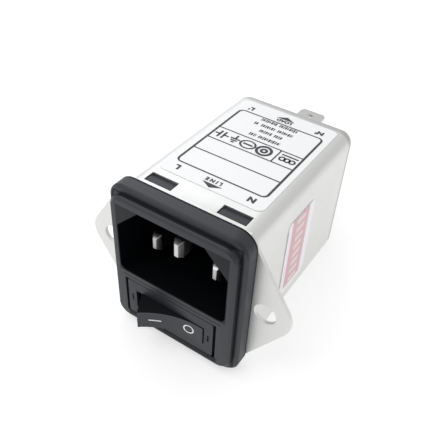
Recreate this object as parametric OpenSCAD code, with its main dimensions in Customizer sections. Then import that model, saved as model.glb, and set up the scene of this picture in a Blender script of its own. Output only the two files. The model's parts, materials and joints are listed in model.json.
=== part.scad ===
// EMI line filter with an appliance inlet and a rocker switch, in a drawn steel can.
// X runs to the right, Y runs into the can and Z runs up. The origin is the centre of the
// mounting plane, midway between the two ear holes. The switch is drawn in its off position.

/* [Can] */
// Width of the can, outside
can_w = 28.6; // [28:0.1:29.2]
// Height of the can, outside
can_h = 32.6; // [32.2:0.1:33.6]
// Length of the can behind the mounting plane
can_len = 43.3; // [42:0.1:60]
// Radius of the can's long edges and rear edges
can_r = 3; // [2.2:0.1:3.6]
// Thickness of the steel sheet
sheet = 0.8; // [0.6:0.05:0.9]
// Distance from the edge of each latch window to the middle plane
window_x = 5.04; // [4:0.1:5.4]
// Width of each latch window
window_w = 6.07; // [5:0.1:6.4]
// Distance from the mounting plane to the latch windows
window_y = 2.21; // [1.8:0.1:3]
// Length of the latch windows along the can
window_len = 2.72; // [2.2:0.1:4]

/* [Ears] */
// Distance between the two ear holes
ear_spacing = 36; // [35:0.1:38]
// Diameter of the ear holes
ear_hole_d = 4.6; // [3.4:0.1:5.2]
// Radius of the ear tips
ear_tip_r = 5.3; // [4.6:0.1:6]

/* [Bezel] */
// Width of the bezel's front block
block_w = 28; // [27.4:0.1:28.6]
// Height of the bezel's front block
block_h = 32.2; // [31.8:0.1:33.4]
// Depth of the bezel's front block
block_t = 1.4; // [1:0.1:2.4]
// Corner radius of the front block
block_r = 3; // [2:0.1:3.5]
// Width of the bezel's flange
flange_w = 30.2; // [29.4:0.1:31]
// Height of the bezel's flange
flange_h = 35.5; // [34.8:0.1:36.5]
// Thickness of the bezel's flange
flange_t = 3.25; // [2.4:0.05:4]
// Corner radius of the flange
flange_r = 3.7; // [3:0.1:4.2]
// Chamfer round the front edges of the bezel
edge_cut = 0.5; // [0.3:0.05:0.7]

/* [Inlet] */
// Width of the inlet's cavity
cavity_w = 24.6; // [24.2:0.1:24.8]
// Height of the inlet's cavity
cavity_h = 16.4; // [16.2:0.1:16.6]
// Depth of the inlet's cavity
cavity_d = 17.5; // [16.5:0.1:18]
// Size of the two cut corners of the cavity
cavity_cut = 5; // [4.6:0.1:5.4]
// Distance from the line and neutral pins down to the cavity's lower wall
cavity_drop = 6.2; // [6:0.05:6.4]
// Height of the line and neutral pins above the middle of the can
pin_z = 4; // [3.9:0.05:4.1]
// Distance between the line and neutral pins
pin_pitch = 14; // [13.6:0.1:14.2]
// Height of the earth pin above the other two
earth_rise = 4; // [3.8:0.1:4.2]
// Thickness of the pins
pin_t = 2; // [1.6:0.1:2.2]
// Width of the pins
pin_w = 4; // [3.6:0.1:4.2]
// Distance from the bezel's front to the tips of the line and neutral pins
pin_recess = 4.4; // [4:0.1:5]
// How far the earth pin stands ahead of the other two
earth_lead_in = 2.5; // [1.6:0.05:2.8]
// Thickness of the cavity's rear wall
floor_t = 2.5; // [2:0.1:3.2]

/* [Switch] */
// Height of the rocker's middle, measured down from the middle of the can
switch_drop = 9.1; // [9:0.05:9.2]
// Sideways place of the switch
switch_x = -0.35; // [-0.4:0.05:0.4]
// Length of the switch's front frame
frame_w = 20.7; // [20.5:0.1:21.2]
// Height of the switch's front frame
frame_h = 9.5; // [9.4:0.05:9.6]
// Thickness of the switch's front frame
frame_t = 1.2; // [1:0.05:1.3]
// Depth of the rocker's pivot behind the bezel's front
pivot_depth = 3.03; // [3:0.01:3.3]
// Height of the rocker across its pivot line
rocker_h = 4.4; // [4.2:0.05:4.6]
// Distance between the rocker's two tips
rocker_span = 13.44; // [13:0.02:13.6]
// Height of the rocker's tips above its pivot
tip_rise = 5.53; // [5.3:0.01:5.7]
// Height of the middle of the rocker above its pivot
waist_rise = 4.28; // [4.1:0.01:4.5]
// Angle that the rocker turns from one position to the other
throw_angle = 36; // [30:1:36]
// Angle that the contact blades turn when the rocker is thrown
blade_angle = 16; // [14:1:17]
// Radius of the rocker's pivot pins
trunnion_r = 0.9; // [0.7:0.05:1]

/* [Filter] */
// Outside diameter of the choke's ring core
core_d = 18; // [17:0.1:18.6]
// Width of the ring's section
core_section = 4.75; // [4.2:0.05:5]
// Height of the ring's section
core_h = 6; // [5:0.1:7]
// Diameter of the choke's wire
wire_d = 0.8; // [0.6:0.05:0.85]
// Turns on each half of the choke
choke_turns = 7; // [4:1:7]
// Length of the capacitor across the line
x_cap_len = 18; // [15:0.5:20]
// Thickness of the circuit board
board_t = 1.6; // [1:0.1:2]

/* [Terminals] */
// Width of the push-on tabs
tab_w = 6.3; // [4.8:0.1:6.4]
// Thickness of the push-on tabs
tab_t = 0.8; // [0.5:0.05:0.9]
// Length of the tabs behind the can
tab_len = 9.7; // [8:0.1:12]
// Distance of the load tabs from the middle plane
load_x = 6; // [5.8:0.1:6]
// Height of the load tabs, measured down from the middle of the can
load_drop = 4; // [3:0.1:6]
// Height of the earth tab above the middle of the can
earth_tab_z = 10.6; // [10.5:0.1:12]

/* [Labels] */
// Width of the rating label
label_w = 23.2; // [18:0.1:23.2]
// Length of the rating label
label_len = 32.7; // [26:0.1:32.7]
// Distance from the mounting plane to the rating label
label_y = 6.72; // [6:0.1:7.2]
// Length of the side label along the can
seal_len = 11.3; // [8:0.1:20]
// Height of the side label
seal_h = 20.6; // [14:0.1:22]
// Thickness of the label film
film = 0.1; // [0.05:0.01:0.15]

/* [Hidden] */

$fn = 48;
steel = [0.80, 0.79, 0.77];
nickel = [0.86, 0.85, 0.82];
black_plastic = [0.10, 0.10, 0.11];
grey_plastic = [0.16, 0.16, 0.17];
copper = [0.72, 0.42, 0.22];
brass = [0.80, 0.66, 0.36];

cut = 1;             // how far a cutting shape runs past what it cuts
slip = 0.1;          // gap between pieces that slide into one another by hand
seat = 0.02;         // gap round a piece that is pressed or soldered in its seat
run = 0.05;          // running clearance of a pin in its bore

front_y = -(block_t + flange_t);
inner_w = can_w - 2 * sheet;
inner_h = can_h - 2 * sheet;
inner_r = can_r - sheet;
rear_y = can_len - sheet;

lip_w = can_w - 1.9;
lip_h = can_h + 1.4;
ear_x = ear_spacing / 2;

body_w = inner_w - 2 * slip;
body_h = inner_h - 2 * slip;
body_r = max(inner_r - slip, 0.6);
floor_y = front_y + cavity_d;
back_y = floor_y + floor_t;
cavity_bottom = pin_z - cavity_drop;
cavity_top = cavity_bottom + cavity_h;
cavity_round = 1.5;
latch_gap = 0.2;
latch_rise = sheet + slip - 0.15;
post_r = 1.2;
post_len = 4.65;
post_x = body_w / 2 - 1.8;
post_z = body_h / 2 - 1.8;
tail_t = 1;
tail_h = 3;
tail_len = 2.8;

half_throw = throw_angle / 2;
half_blade = blade_angle / 2;
switch_gap = 0.6;
window_gap = 0.15;
tip_x = rocker_span / 2;
tip_reach = norm([tip_x, tip_rise]);
swing_x = sqrt(tip_reach * tip_reach - pivot_depth * pivot_depth);
switch_wall = 0.8;
box_len = 2 * (tip_reach + 0.3 + switch_wall);
box_h = frame_h - 0.3;
well_h = box_h - 2 * switch_wall;
plate_back = frame_t - pivot_depth;
pole_z = 2.1;
barrel_r = 1.5;
barrel_len = 4.2;
bore_r = 0.95;
bore_start = 1.2;
plunger_r = bore_r - 0.07;
plunger_start = 3;
nose_r = 0.5;
nose_y = 5.1;
spring_wire = 0.26;
spring_r = bore_r - 0.15 - spring_wire / 2;
spring_turns = 4;
blade_t = 0.5;
blade_w = 2.4;
blade_arm = 5;
blade_rise = 14;
blade_top = nose_y + (nose_r + 0.12) / cos(blade_rise);
fulcrum_r = 0.3;
fulcrum_y = blade_top + 0.66;
contact_r = 0.8;
contact_t = 0.4;
contact_x = blade_arm - contact_r;
closed_tilt = blade_rise - half_blade;
anvil_y = fulcrum_y - (fulcrum_y - blade_top) * cos(half_blade)
    - contact_x * sin(closed_tilt) + blade_t + contact_t + 0.35;
base_y = 9;
base_t = 2;
terminal_t = 0.6;
common_reach = 2.2;
common_end = back_y + common_reach;

board_y = back_y + post_len;
board_back = board_y + board_t;
sleeve_t = 0.4;
board_w = body_w - 2 * sleeve_t - 0.6;
board_h = body_h - 2 * sleeve_t - 0.6;
sleeve_y = back_y + 0.5;
core_mid = (core_d - core_section) / 2;
core_round = 1.4;
divider_t = 1.2;
wire_r = wire_d / 2;
wrap_x = core_section / 2 + wire_r + 0.62;
wrap_y = core_h / 2 + wire_r + 0.75;
choke_y = board_back + 0.3 + wrap_y + wire_r;
choke_back = choke_y + wrap_y + wire_r;
choke_z = -4;
wrap_half = 64;
x_cap_h = 6.5;
x_cap_d = 11.5;
x_cap_z = 9.55;
x_cap_inset = 1.5;
x_cap_pitch = x_cap_len - 2 * x_cap_inset;
lead_r = 0.4;
stub = 0.6;
link_r = 0.45;
load_lead_r = 0.55;
load_lead_x = 10;
load_lead_z = -12.2;
resistor_x = -11;
resistor_r = 1.2;
resistor_len = 6.4;
resistor_pitch = 9.2;
y_cap_r = 3.4;
y_cap_t = 3;
y_cap_x = 7.6;
y_cap_z = 6.6;
y_cap_y = rear_y - 1.6 - y_cap_t;
load_z = -load_drop;
bushing_r = 4.2;
bushing_rim = 5.15;
bushing_inner_rim = 4.8;
bushing_out = 1.4;
bushing_in = 1.2;
tab_inner = 5.6;
tab_hole_r = 0.75;
tab_cut = 0.6;
tab_hole_back = 2.3;
earth_foot = 8;
rivet_r = 1.4;
rivet_head = 0.8;
rivet_drop = 4.6;
rivet_z = earth_tab_z - rivet_drop;
seal_y = 13.7;
seal_top = 9.6;

// ---------------------------------------------------------------- helpers

// Extrudes a shape drawn in X and Z from y0 to y1.
module along_y(y0, y1) {
    translate([0, y1, 0])
        rotate([90, 0, 0])
            linear_extrude(y1 - y0)
                children();
}

// Extrudes a shape drawn in X and Y over the height h, centred on z = 0.
module slab(h) {
    translate([0, 0, -h / 2])
        linear_extrude(h)
            children();
}

// Rod along Y.
module rod_y(r, y0, y1) {
    translate([0, y0, 0])
        rotate([-90, 0, 0])
            cylinder(r = r, h = y1 - y0);
}

// Box given by its low corner and its size in X and Z about the middle.
module bar_y(w, h, y0, y1) {
    translate([-w / 2, y0, -h / 2])
        cube([w, y1 - y0, h]);
}

module rounded_rect(w, h, r) {
    square([w - 2 * r, h], center = true);
    square([w, h - 2 * r], center = true);
    for (sx = [-1, 1], sy = [-1, 1])
        translate([sx * (w / 2 - r), sy * (h / 2 - r)])
            circle(r);
}

// Plate in X and Z with round corners, and a chamfer round its front (low Y) edge.
module chamfered_plate(w, h, r, y0, y1, c) {
    translate([0, y1, 0])
        rotate([90, 0, 0]) {
            t = y1 - y0;
            rotate([90, 0, 90])
                slab(w - 2 * r)
                    chamfer_section(h / 2, t, c);
            rotate([90, 0, 0])
                mirror([0, 0, 1])
                    slab(h - 2 * r)
                        chamfer_section(w / 2, t, c);
            for (sx = [-1, 1], sz = [-1, 1])
                translate([sx * (w / 2 - r), sz * (h / 2 - r), 0])
                    rotate_extrude()
                        polygon([[0, 0], [r, 0], [r, t - c], [r - c, t], [0, t]]);
        }
}

// Cross-section of a plate of half width a and thickness t, with both front corners cut.
module chamfer_section(a, t, c) {
    polygon([[-a, 0], [a, 0], [a, t - c], [a - c, t], [c - a, t], [-a, t - c]]);
}

// Box with round long edges and a round far end, as a drawn shell has.
module drawn_box(w, h, r, y0, y1) {
    along_y(y0, y1 - r)
        rounded_rect(w, h, r);
    bar_y(w - 2 * r, h - 2 * r, y0, y1);
    for (s = [-1, 1]) {
        translate([0, y1 - r, s * (h / 2 - r)])
            rotate([0, 90, 0])
                cylinder(r = r, h = w - 2 * r, center = true);
        translate([s * (w / 2 - r), y1 - r, 0])
            cylinder(r = r, h = h - 2 * r, center = true);
        for (q = [-1, 1])
            translate([s * (w / 2 - r), y1 - r, q * (h / 2 - r)])
                sphere(r);
    }
}

function unit(v) = v / norm(v);

// Point at t on the curve that four control points give.
function bezier(p, t) =
    pow(1 - t, 3) * p[0] + 3 * t * pow(1 - t, 2) * p[1]
    + 3 * t * t * (1 - t) * p[2] + pow(t, 3) * p[3];

function curve(p, n) = [for (i = [0:n]) bezier(p, i / n)];

// Round wire of radius r through the points of path. up gives, for each point, a direction
// that is never along the wire.
module wire(path, up, r, sides = 8) {
    n = len(path);
    rings = [for (i = [0:n - 1])
        let (t = unit(path[min(i + 1, n - 1)] - path[max(i - 1, 0)]),
            u = unit(cross(t, up[i])),
            v = cross(t, u))
        for (k = [0:sides - 1])
            path[i] + r * (cos(360 * k / sides) * u + sin(360 * k / sides) * v)];
    walls = [for (i = [0:n - 2], k = [0:sides - 1])
        let (a = i * sides, b = a + sides, m = (k + 1) % sides)
        [a + k, b + k, b + m, a + m]];
    near = [[for (k = [0:sides - 1]) k]];
    far = [[for (k = [sides - 1:-1:0]) (n - 1) * sides + k]];
    polyhedron(rings, concat(near, walls, far), convexity = 8);
}

// Wire along one curve of four control points.
module curved_wire(p, r, up = [1, 0, 0], steps = 12) {
    path = curve(p, steps);
    wire(path, [for (q = path) up], r);
}

// Places children at the rocker's pivot, with Y still running into the can.
module at_switch() {
    translate([switch_x, front_y + pivot_depth, -switch_drop])
        children();
}

// Turns the rocker and what it carries to the off position.
module switched_off() {
    rotate([0, 0, half_throw])
        children();
}

// ---------------------------------------------------------------- can

function tangent_point(c, centre, r) =
    let (d = centre - c, dist = norm(d), a = atan2(d[1], d[0]) + asin(r / dist))
    c + sqrt(dist * dist - r * r) * [cos(a), sin(a)];

// Outline of the can's mounting lip with its two ears.
module ear_outline() {
    corner = [lip_w / 2, lip_h / 2];
    t = tangent_point(corner, [ear_x, 0], ear_tip_r);
    polygon([corner, t, [t[0], -t[1]], [corner[0], -corner[1]],
        -corner, -t, [-t[0], t[1]], [-corner[0], corner[1]]]);
    for (s = [-1, 1])
        translate([s * ear_x, 0])
            circle(ear_tip_r);
}

module latch_windows() {
    for (sx = [-1, 1], sz = [-1, 1])
        translate([sx * (window_x + window_w / 2), window_y, sz * can_h / 2])
            bar_y(window_w, 2 * (sheet + can_r - 1), 0, window_len);
}

module can() {
    color(steel)
        difference() {
            union() {
                along_y(0, sheet)
                    ear_outline();
                drawn_box(can_w, can_h, can_r, 0, can_len);
            }
            drawn_box(inner_w, inner_h, inner_r, -cut, rear_y);
            latch_windows();
            for (s = [-1, 1]) {
                translate([s * ear_x, 0, 0])
                    rod_y(ear_hole_d / 2, -cut, sheet + cut);
                translate([s * load_x, 0, load_z])
                    rod_y(bushing_r + slip, rear_y - cut, can_len + cut);
            }
            translate([0, 0, rivet_z])
                rod_y(rivet_r + seat, rear_y - cut, can_len + cut);
        }
}

// ---------------------------------------------------------------- inlet housing and pins

module cavity_outline() {
    w = cavity_w / 2;
    r = cavity_round;
    polygon([[-w, cavity_bottom + r], [-w + r, cavity_bottom], [w - r, cavity_bottom],
        [w, cavity_bottom + r], [w, cavity_top - cavity_cut], [w - cavity_cut, cavity_top],
        [cavity_cut - w, cavity_top], [-w, cavity_top - cavity_cut]]);
    for (s = [-1, 1])
        translate([s * (w - r), cavity_bottom + r])
            circle(r);
}

// Snap lug whose steep side faces the bezel, seen from the side in Y and Z.
module latch_lugs() {
    lug_w = window_w - 2 * latch_gap;
    lug_len = window_len - 2 * latch_gap;
    for (sx = [-1, 1], flip = [0, 1])
        mirror([0, 0, flip])
            translate([sx * (window_x + window_w / 2), window_y + latch_gap, body_h / 2 - cut])
                rotate([90, 0, 90])
                    slab(lug_w)
                        polygon([[0, 0], [lug_len, 0], [lug_len, cut + latch_rise * 0.5],
                            [lug_len * 0.55, cut + latch_rise], [0, cut + latch_rise]]);
}

module switch_bay() {
    at_switch() {
        bar_y(frame_w + 2 * switch_gap, frame_h + switch_gap / 2,
            -pivot_depth - cut, plate_back);
        bar_y(box_len + 2 * slip, box_h + 2 * slip,
            -pivot_depth - cut, back_y - front_y + cut);
    }
}

module pin_slots() {
    for (x = [-1, 1])
        translate([x * pin_pitch / 2, 0, pin_z])
            bar_y(pin_t + 2 * seat, pin_w + 2 * seat, floor_y - cut, back_y + cut);
    translate([0, 0, pin_z + earth_rise])
        bar_y(pin_t + 2 * seat, pin_w + 2 * seat, floor_y - cut, back_y + cut);
}

module inlet_housing() {
    color(black_plastic)
        difference() {
            union() {
                chamfered_plate(block_w, block_h, block_r, front_y, -flange_t, edge_cut);
                chamfered_plate(flange_w, flange_h, flange_r, -flange_t, 0, edge_cut);
                along_y(0, back_y)
                    rounded_rect(body_w, body_h, body_r);
                latch_lugs();
                for (sx = [-1, 1], sz = [-1, 1])
                    translate([sx * post_x, 0, sz * post_z])
                        rod_y(post_r, back_y - cut, board_y);
            }
            along_y(front_y - cut, floor_y)
                cavity_outline();
            pin_slots();
            switch_bay();
        }
}

// Flat pin with a four-sided bevelled tip and a thin solder tail with an eye.
module inlet_pin(tip_y) {
    bevel = pin_t / 4;
    taper = 1.1;
    tail_end = back_y + tail_len;
    color(nickel)
        difference() {
            union() {
                intersection() {
                    slab(pin_w)
                        polygon([[-pin_t / 2, back_y], [pin_t / 2, back_y],
                            [pin_t / 2, tip_y + taper], [pin_t / 2 - bevel, tip_y],
                            [bevel - pin_t / 2, tip_y], [-pin_t / 2, tip_y + taper]]);
                    rotate([90, 0, 90])
                        slab(pin_t)
                            polygon([[back_y, -pin_w / 2], [back_y, pin_w / 2],
                                [tip_y + taper, pin_w / 2], [tip_y, pin_w / 2 - 2 * bevel],
                                [tip_y, 2 * bevel - pin_w / 2], [tip_y + taper, -pin_w / 2]]);
                }
                bar_y(tail_t, tail_h, back_y - cut, tail_end);
            }
            translate([0, tail_end - 1, 0])
                rotate([0, 90, 0])
                    cylinder(r = 0.5, h = tail_t + 2 * cut, center = true);
        }
}

module line_pin() {
    translate([-pin_pitch / 2, 0, pin_z])
        inlet_pin(front_y + pin_recess);
}

module neutral_pin() {
    translate([pin_pitch / 2, 0, pin_z])
        inlet_pin(front_y + pin_recess);
}

module earth_pin() {
    translate([0, 0, pin_z + earth_rise])
        inlet_pin(front_y + pin_recess - earth_lead_in);
}

// ---------------------------------------------------------------- rocker switch

module switch_body() {
    window_w = 2 * (swing_x + window_gap);
    window_h = rocker_h + 2 * window_gap;
    slot_x = (frame_w / 2 + swing_x) / 2;
    color(grey_plastic)
        at_switch()
            difference() {
                union() {
                    along_y(-pivot_depth, plate_back)
                        rounded_rect(frame_w, frame_h, 0.5);
                    bar_y(box_len, box_h, plate_back - 0.1, base_y + base_t);
                }
                bar_y(window_w, window_h, -pivot_depth - cut, plate_back + cut);
                bar_y(box_len - 2 * switch_wall, well_h, plate_back, base_y + base_t + cut);
                cylinder(r = trunnion_r + run, h = box_h + 2 * cut, center = true);
                for (s = [-1, 1])
                    translate([s * slot_x, 0, 0])
                        bar_y(0.4, 1.8, -pivot_depth - cut, 0.5 - pivot_depth);
            }
}

// Outline of the rocker seen along its pivot, with the front towards low Y.
module rocker_outline() {
    skirt = 1;
    skirt_x = tip_x + (tip_rise + skirt) * tan(10);
    dish = tip_rise - waist_rise;
    dish_r = (tip_x * tip_x + dish * dish) / (2 * dish);
    difference() {
        polygon([[-skirt_x, skirt], [-tip_x, -tip_rise], [tip_x, -tip_rise], [skirt_x, skirt]]);
        translate([0, -waist_rise - dish_r])
            circle(dish_r, $fn = 180);
    }
}

module rocker() {
    pocket_h = rocker_h - 2.2;
    color(black_plastic)
        at_switch()
            switched_off() {
                difference() {
                    union() {
                        difference() {
                            slab(rocker_h)
                                rocker_outline();
                            for (flip = [0, 1])
                                mirror([flip, 0, 0])
                                    slab(pocket_h)
                                        polygon([[2.4, 2], [2.4, 1.3 - waist_rise],
                                            [tip_x - 0.9, 1 - waist_rise],
                                            [tip_x + 0.1, 2]]);
                        }
                        cylinder(r = barrel_r, h = 2 * (pole_z + barrel_r), center = true);
                        cylinder(r = trunnion_r, h = box_h - 0.2, center = true);
                        for (s = [-1, 1])
                            translate([0, 0, s * pole_z])
                                rod_y(barrel_r, 0, barrel_len);
                    }
                    for (s = [-1, 1])
                        translate([0, 0, s * pole_z])
                            rod_y(bore_r, bore_start, barrel_len + cut);
                }
            }
}

module plunger(side) {
    color(brass)
        at_switch()
            switched_off()
                translate([0, 0, side * pole_z]) {
                    rod_y(plunger_r, plunger_start, nose_y - 0.5);
                    rod_y(nose_r, nose_y - 1, nose_y);
                    translate([0, nose_y, 0])
                        sphere(nose_r);
                }
}

module plunger_line() {
    plunger(1);
}

module plunger_neutral() {
    plunger(-1);
}

// Coil spring in the rocker's barrel, from the bore's end to the plunger.
module plunger_spring(side) {
    steps = 12;
    n = spring_turns * steps;
    rise = plunger_start - bore_start - spring_wire - 2 * run;
    path = [for (i = [0:n])
        let (a = 360 * i / steps)
        [spring_r * cos(a), bore_start + run + spring_wire / 2 + rise * i / n,
            spring_r * sin(a)]];
    color(steel)
        at_switch()
            switched_off()
                translate([0, 0, side * pole_z])
                    wire(path, [for (p = path) [0, 1, 0]], spring_wire / 2, sides = 6);
}

module spring_line() {
    plunger_spring(1);
}

module spring_neutral() {
    plunger_spring(-1);
}

// Bent contact blade that rocks on its terminal, with a contact at its right end.
module contact_blade(side) {
    color(copper)
        at_switch()
            translate([0, fulcrum_y, side * pole_z])
                rotate([0, 0, -half_blade])
                    translate([0, blade_top - fulcrum_y, 0])
                        difference() {
                            union() {
                                slab(blade_w)
                                    blade_outline();
                                rotate([0, 0, -blade_rise])
                                    translate([contact_x, 0, 0])
                                        rod_y(contact_r, blade_t / 2, blade_t + contact_t);
                            }
                            translate([0, fulcrum_y - blade_top, 0])
                                cylinder(r = fulcrum_r + run, h = blade_w + 2 * cut,
                                    center = true);
                        }
}

// The blade seen along its pivot: two arms that rise from the bend towards low Y.
module blade_outline() {
    tip = blade_arm * [cos(blade_rise), -sin(blade_rise)];
    heel = tip + blade_t * [sin(blade_rise), cos(blade_rise)];
    polygon([[-tip[0], tip[1]], [0, 0], tip, heel, [0, blade_t / cos(blade_rise)],
        [-heel[0], heel[1]]]);
}

module blade_line() {
    contact_blade(1);
}

module blade_neutral() {
    contact_blade(-1);
}

module switch_base() {
    slot = terminal_t + 2 * seat;
    base_len = box_len - 2 * switch_wall - 2 * seat;
    base_h = well_h - 2 * seat;
    color(black_plastic)
        at_switch()
            difference() {
                union() {
                    bar_y(base_len, base_h, base_y, base_y + base_t);
                    bar_y(base_len, 0.8, barrel_len + 2, base_y + base_t);
                }
                for (s = [-1, 1], x = [0, contact_x])
                    translate([x, 0, s * pole_z])
                        bar_y(slot, blade_w + 2 * seat, base_y - cut, base_y + base_t + cut);
            }
}

// Blade terminal whose round top carries the rocking contact blade.
module common_terminal(side) {
    end = common_end - front_y - pivot_depth;
    color(brass)
        at_switch()
            translate([0, 0, side * pole_z]) {
                translate([0, fulcrum_y, 0])
                    cylinder(r = fulcrum_r, h = blade_w, center = true);
                bar_y(terminal_t, blade_w, fulcrum_y, end);
            }
}

module common_terminal_line() {
    common_terminal(1);
}

module common_terminal_neutral() {
    common_terminal(-1);
}

// Blade terminal with a bent top and a fixed contact, reaching through the circuit board.
module contact_terminal(side) {
    end = board_back + 0.2 - front_y - pivot_depth;
    shelf = anvil_y + contact_t;
    color(brass)
        at_switch()
            translate([contact_x, 0, side * pole_z]) {
                rod_y(contact_r, anvil_y, shelf + terminal_t / 2);
                bar_y(2 * contact_r + 0.4, blade_w, shelf, shelf + terminal_t);
                bar_y(terminal_t, blade_w, shelf, end);
            }
}

module contact_terminal_line() {
    contact_terminal(1);
}

module contact_terminal_neutral() {
    contact_terminal(-1);
}

// ---------------------------------------------------------------- filter

// Places of the round lead holes in the circuit board, in X and Z.
function board_holes() = concat(
    [for (s = [-1, 1]) s_point(s, core_mid + wrap_x, wrap_half)],
    [for (s = [-1, 1]) s_point(s, core_mid - wrap_x, -wrap_half)],
    [for (s = [-1, 1]) [s * x_cap_pitch / 2, x_cap_z]],
    [for (s = [-1, 1]) [s * load_lead_x, load_lead_z]],
    [for (s = [-1, 1]) [resistor_x, s * resistor_pitch / 2]]);

// Point on the board at radius r from the choke's axis, at angle a above its side s.
function s_point(s, r, a) = [s * r * cos(a), choke_z + r * sin(a)];

module circuit_board() {
    notch = 2 * (load_lead_r + 0.5);
    color([0.16, 0.38, 0.20])
        difference() {
            along_y(board_y, board_back)
                rounded_rect(board_w, board_h, 1.5);
            for (p = board_holes())
                translate([p[0], 0, p[1]])
                    rod_y(load_lead_r + seat, board_y - cut, board_back + cut);
            at_switch()
                for (s = [-1, 1])
                    translate([contact_x, 0, s * pole_z])
                        bar_y(terminal_t + 2 * slip, blade_w + 2 * slip,
                            board_y - front_y - pivot_depth - cut,
                            board_back - front_y - pivot_depth + cut);
            translate([0, 0, board_h / 2])
                bar_y(notch, 2 * 1.6, board_y - cut, board_back + cut);
        }
}

module insulating_sleeve() {
    color([0.90, 0.88, 0.78])
        along_y(sleeve_y, rear_y - inner_r)
            difference() {
                rounded_rect(body_w, body_h, body_r);
                rounded_rect(body_w - 2 * sleeve_t, body_h - 2 * sleeve_t,
                    max(body_r - sleeve_t, 0.3));
            }
}

module choke_core() {
    color([0.22, 0.22, 0.24])
        translate([0, choke_y, choke_z])
            rotate([90, 0, 0])
                rotate_extrude($fn = 96)
                    translate([core_mid, 0])
                        rounded_rect(core_section, core_h, core_round);
}

// Plate across the ring's hole that keeps the two windings apart.
module choke_divider() {
    hole_r = core_mid - core_section / 2;
    half = sqrt(pow(hole_r, 2) - pow(divider_t / 2, 2)) - seat;
    color([0.92, 0.91, 0.86])
        translate([0, 0, choke_z])
            bar_y(divider_t, 2 * half, board_back, choke_y + wrap_y);
}

// Half winding of the choke. The wire rises from the board outside the ring, wraps it and
// goes back to the board through the hole.
module winding() {
    steps = 14;
    n = round((choke_turns + 0.5) * steps);
    turns = [for (i = [0:n])
        let (a = wrap_half - 2 * wrap_half * i / n,
            q = 360 * i / steps,
            r = core_mid + wrap_x * cos(q))
        [r * cos(a), choke_y + wrap_y * sin(q), choke_z + r * sin(a)]];
    first = [turns[0][0], board_y - stub, turns[0][2]];
    last = [turns[n][0], board_y - stub, turns[n][2]];
    path = concat([first], turns, [last]);
    up = concat([[-sin(wrap_half), 0, cos(wrap_half)]],
        [for (i = [0:n])
            let (a = wrap_half - 2 * wrap_half * i / n)
            [-sin(a), 0, cos(a)]],
        [[sin(wrap_half), 0, cos(wrap_half)]]);
    color(copper)
        wire(path, up, wire_r);
}

module winding_line() {
    mirror([1, 0, 0])
        winding();
}

module winding_neutral() {
    winding();
}

module x_capacitor() {
    color([0.86, 0.66, 0.16])
        translate([0, 0, x_cap_z]) {
            along_y(board_back, board_back + x_cap_d)
                rounded_rect(x_cap_len, x_cap_h, 0.6);
            for (s = [-1, 1])
                translate([s * x_cap_pitch / 2, 0, 0])
                    rod_y(lead_r, board_y - stub, board_back + cut);
        }
}

// Axial resistor in front of the board, which drains the capacitor when the filter is off.
module bleed_resistor() {
    axis_y = board_y - resistor_r - 0.3;
    color([0.55, 0.70, 0.80])
        translate([resistor_x, axis_y, 0]) {
            cylinder(r = resistor_r * 0.85, h = resistor_len, center = true);
            for (s = [-1, 1]) {
                translate([0, 0, s * (resistor_len / 2 - 0.9)])
                    cylinder(r = resistor_r, h = 1.8, center = true);
                translate([0, 0, s * (resistor_len + resistor_pitch) / 4])
                    cylinder(r = lead_r, h = (resistor_pitch - resistor_len) / 2 + 0.2,
                        center = true);
                translate([0, 0, s * resistor_pitch / 2]) {
                    sphere(lead_r);
                    rod_y(lead_r, 0, board_back + stub - axis_y);
                }
            }
        }
}

// Disc capacitor from a load tab to the earth rivet.
module y_capacitor(s) {
    mid_y = y_cap_y + y_cap_t / 2;
    tab_top = load_z + tab_t / 2 + lead_r + seat;
    tab_y = rear_y - 0.7 * tab_inner;
    leg = 0.3 * y_cap_r;
    color([0.20, 0.42, 0.72]) {
        translate([s * y_cap_x, 0, y_cap_z])
            rod_y(y_cap_r, y_cap_y, y_cap_y + y_cap_t);
        curved_wire([[s * (y_cap_x + leg), mid_y, y_cap_z - 2 * leg],
            [s * (y_cap_x + leg), mid_y, load_z + 3 * leg],
            [s * load_x, tab_y, tab_top + 2 * leg], [s * load_x, tab_y, tab_top]], lead_r);
        curved_wire([[s * (y_cap_x - leg), mid_y, y_cap_z - 2 * leg],
            [s * (y_cap_x - 1.4 * leg), mid_y, y_cap_z - 5 * leg],
            [s * 2 * leg, mid_y, rivet_z - 3 * leg],
            [s * 1.5 * lead_r, rear_y - rivet_head - lead_r - seat, rivet_z - rivet_r]],
            lead_r);
    }
}

module y_capacitor_line() {
    y_capacitor(-1);
}

module y_capacitor_neutral() {
    y_capacitor(1);
}

// ---------------------------------------------------------------- leads

link_gap = 0.35;
link_y = back_y + link_r + 0.8;
tail_z = pin_z - tail_h / 2 - link_r - seat;

module link_line() {
    pole = pole_z - switch_drop + blade_w / 2 + link_r + seat;
    color(copper)
        curved_wire([[-pin_pitch / 2, link_y, tail_z],
            [-pin_pitch / 2, link_y, tail_z - 2 * blade_w],
            [switch_x - 2 * pole_z, link_y, pole], [switch_x + terminal_t / 2, link_y, pole]],
            link_r, up = [0, 1, 0]);
}

module link_neutral() {
    pole = -pole_z - switch_drop - blade_w / 2 - link_r - link_gap;
    color(copper)
        curved_wire([[pin_pitch / 2, link_y, tail_z],
            [0.75 * pin_pitch, link_y, pole + 2 * link_r],
            [0.65 * pin_pitch, link_y, pole], [switch_x, link_y, pole]],
            link_r, up = [0, 1, 0], steps = 16);
}

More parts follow.
